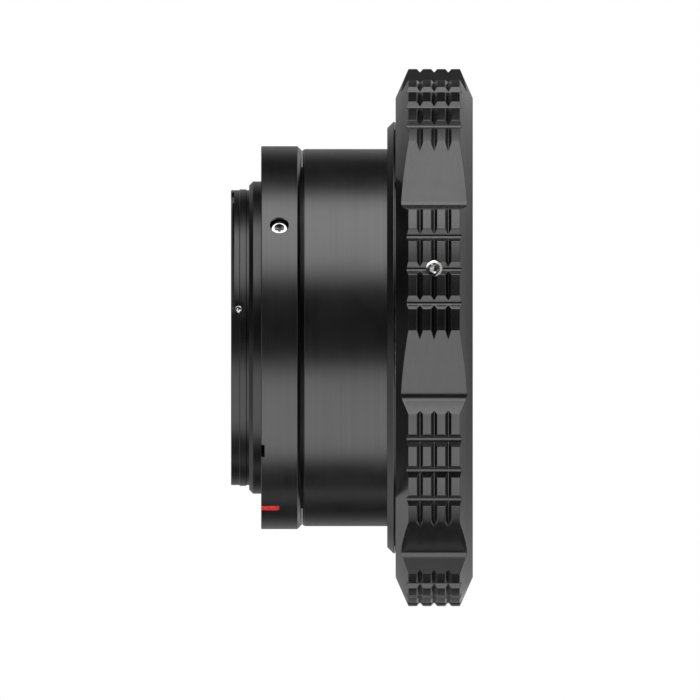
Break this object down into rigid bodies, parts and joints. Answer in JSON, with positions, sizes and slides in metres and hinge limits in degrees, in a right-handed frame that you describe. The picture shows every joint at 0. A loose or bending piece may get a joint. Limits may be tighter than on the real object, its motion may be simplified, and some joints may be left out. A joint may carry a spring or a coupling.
{
  "type": "lens mount adapter",
  "caption": "Cylindrical lens mount adapter: a breech-lock grip ring clamps a lens flange at one end, a turning camera bayonet is at the other.",
  "frame": {"origin": "on the optical axis, in the plane of the grip ring's front face, which the adapter stands on", "axes": "+Z along the optical axis from the lens end to the camera end; the pin slot of the camera flange is between -X and -Y"},
  "size_m": [0.0928, 0.0928, 0.0418],
  "materials": {
    "satin_black_aluminium": "satin black anodised",
    "flat_black_aluminium": "matt black anodised",
    "black_chrome_brass": "satin black chrome plated",
    "stainless_steel": "fine turned",
    "bright_steel": "nickel plated",
    "black_steel": "black oxide",
    "spring_steel": "rolled",
    "brass": "rolled",
    "slip_plastic": "turned acetal",
    "red_enamel": "paint fill"
  },
  "bodies": {
    "barrel": {"front_hub": "satin_black_aluminium", "rear_tube": "satin_black_aluminium", "tube_screws": "black_steel", "seat_plate": "stainless_steel", "seat_screws": "stainless_steel", "seat_shim": "brass", "index_pin": "stainless_steel", "light_baffle": "flat_black_aluminium", "baffle_retainer": "flat_black_aluminium", "wave_washer": "spring_steel"},
    "thrust_washer": {"keyed_washer": "slip_plastic"},
    "grip": {"lock_ring": "satin_black_aluminium", "claw_ring": "stainless_steel", "claw_screws": "black_steel", "guide_screws": "bright_steel", "snap_ring": "spring_steel"},
    "camera_end": {"mount_ring": "satin_black_aluminium", "index_mark": "red_enamel", "bayonet_plate": "black_chrome_brass", "bayonet_screws": "black_steel", "stop_screw": "bright_steel", "set_screws": "bright_steel", "brake_pads": "brass"}
  },
  "joints": [
    {"name": "lock_lift", "type": "slide", "parent": "barrel", "child": "thrust_washer", "axis": [0, 0, -1], "range_m": [0, 0.0005]},
    {"name": "lock_turn", "type": "hinge", "parent": "thrust_washer", "child": "grip", "pos_m": [0, 0, 0.00665], "axis": [0, 0, -1], "range_deg": [0, 50]},
    {"name": "back_focus_turn", "type": "hinge", "parent": "barrel", "child": "camera_end", "pos_m": [0, 0, 0.033], "axis": [0, 0, 1], "range_deg": [-15, 15]}
  ],
  "couplings": [
    {"joint": "lock_turn", "follows": "lock_lift", "rad_per_m": 1745.3}
  ]
}
